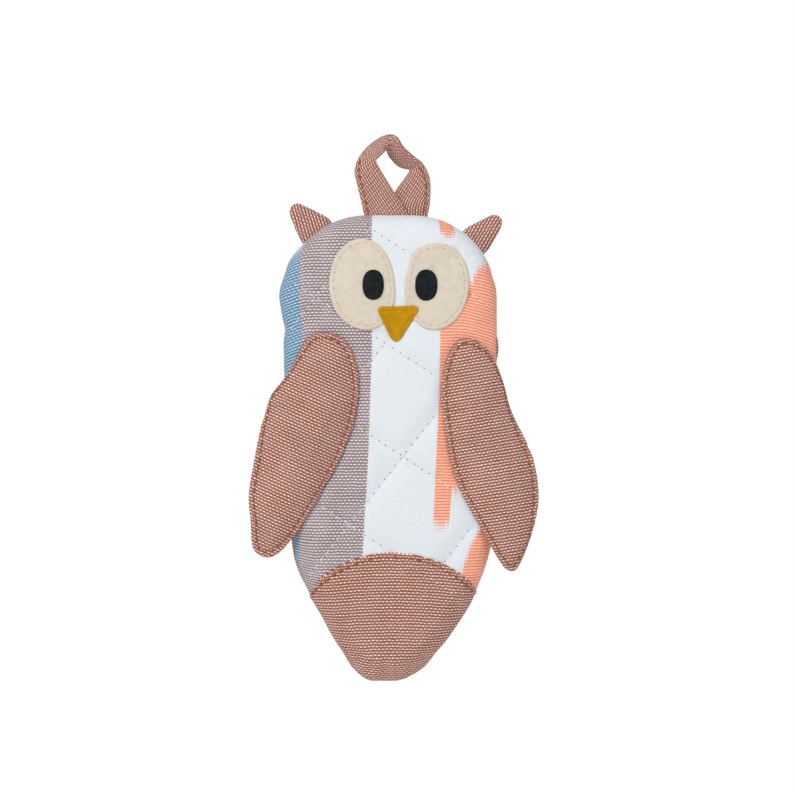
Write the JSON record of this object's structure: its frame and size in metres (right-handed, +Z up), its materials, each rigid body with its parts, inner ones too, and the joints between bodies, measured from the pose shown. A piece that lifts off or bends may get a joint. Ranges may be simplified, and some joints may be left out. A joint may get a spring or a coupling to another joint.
{
  "type": "quilted fabric owl puppet",
  "caption": "Flat padded cotton owl with felt eyes and beak, loose sewn wings, bending ears, an arched tail patch and a strap loop to hang it by.",
  "frame": {"origin": "the point inside the top of the hanging loop that a hook or peg carries", "axes": "+Z up along the hanging owl, the face looks along -Y, +X to the right of someone facing it"},
  "size_m": [0.1172, 0.0226, 0.2195],
  "materials": {
    "striped_cotton": "coarse handwoven plain-weave cotton with faded stripes of blue, mauve-grey, white and peach",
    "brown_cotton": "coarse plain-weave cotton with a white weft over red-brown warp",
    "cream_felt": "short-fibred wool felt, matt",
    "charcoal_felt": "short-fibred wool felt, matt",
    "mustard_felt": "short-fibred wool felt, matt",
    "wadding": "bonded polyester wadding, soft",
    "filling": "loose polyester fibre, soft",
    "white_thread": "twisted sewing thread",
    "rust_thread": "twisted sewing thread",
    "cream_thread": "twisted sewing thread",
    "charcoal_thread": "twisted sewing thread",
    "mustard_thread": "twisted sewing thread"
  },
  "bodies": {
    "body": {"front_panel": "striped_cotton", "back_panel": "brown_cotton", "front_wadding": "wadding", "body_filling": "filling", "quilting_stitches": "white_thread", "tail_patch": "brown_cotton", "tail_stitches": "rust_thread", "left_eye_patch": "cream_felt", "right_eye_patch": "cream_felt", "left_eye_stitches": "cream_thread", "right_eye_stitches": "cream_thread", "left_pupil": "charcoal_felt", "right_pupil": "charcoal_felt", "left_pupil_stitches": "charcoal_thread", "right_pupil_stitches": "charcoal_thread", "beak": "mustard_felt", "beak_stitches": "mustard_thread"},
    "left_wing": {"left_wing_back": "brown_cotton", "left_wing_wadding": "wadding", "left_wing_front": "brown_cotton", "left_wing_stitches": "rust_thread"},
    "right_wing": {"right_wing_back": "brown_cotton", "right_wing_wadding": "wadding", "right_wing_front": "brown_cotton", "right_wing_stitches": "rust_thread"},
    "left_ear": {"left_ear_front": "brown_cotton", "left_ear_back": "brown_cotton"},
    "right_ear": {"right_ear_front": "brown_cotton", "right_ear_back": "brown_cotton"},
    "hanging_loop": {"hanging_loop": "brown_cotton", "hanging_loop_stitches": "rust_thread"}
  },
  "joints": [
    {"name": "left_wing_lift", "type": "hinge", "parent": "body", "child": "left_wing", "pos_m": [-0.02114, -0.00935, -0.07302], "axis": [-0.96, 0, 0.28], "range_deg": [0, 90]},
    {"name": "right_wing_lift", "type": "hinge", "parent": "body", "child": "right_wing", "pos_m": [0.03038, -0.00935, -0.07482], "axis": [-0.9701, 0, -0.2425], "range_deg": [0, 90]},
    {"name": "left_ear_bend", "type": "hinge", "parent": "body", "child": "left_ear", "pos_m": [-0.02859, 0, -0.03082], "axis": [-0.8087, 0, -0.5882], "range_deg": [-60, 60], "stiffness_Nm_per_rad": 0.001},
    {"name": "right_ear_bend", "type": "hinge", "parent": "body", "child": "right_ear", "pos_m": [0.03632, 0, -0.03525], "axis": [-0.7036, 0, 0.7106], "range_deg": [-60, 60], "stiffness_Nm_per_rad": 0.001},
    {"name": "loop_swing", "type": "hinge", "parent": "body", "child": "hanging_loop", "pos_m": [0.0045, 0, -0.0236], "axis": [1, 0, 0], "range_deg": [-80, 80], "stiffness_Nm_per_rad": 0.003}
  ]
}
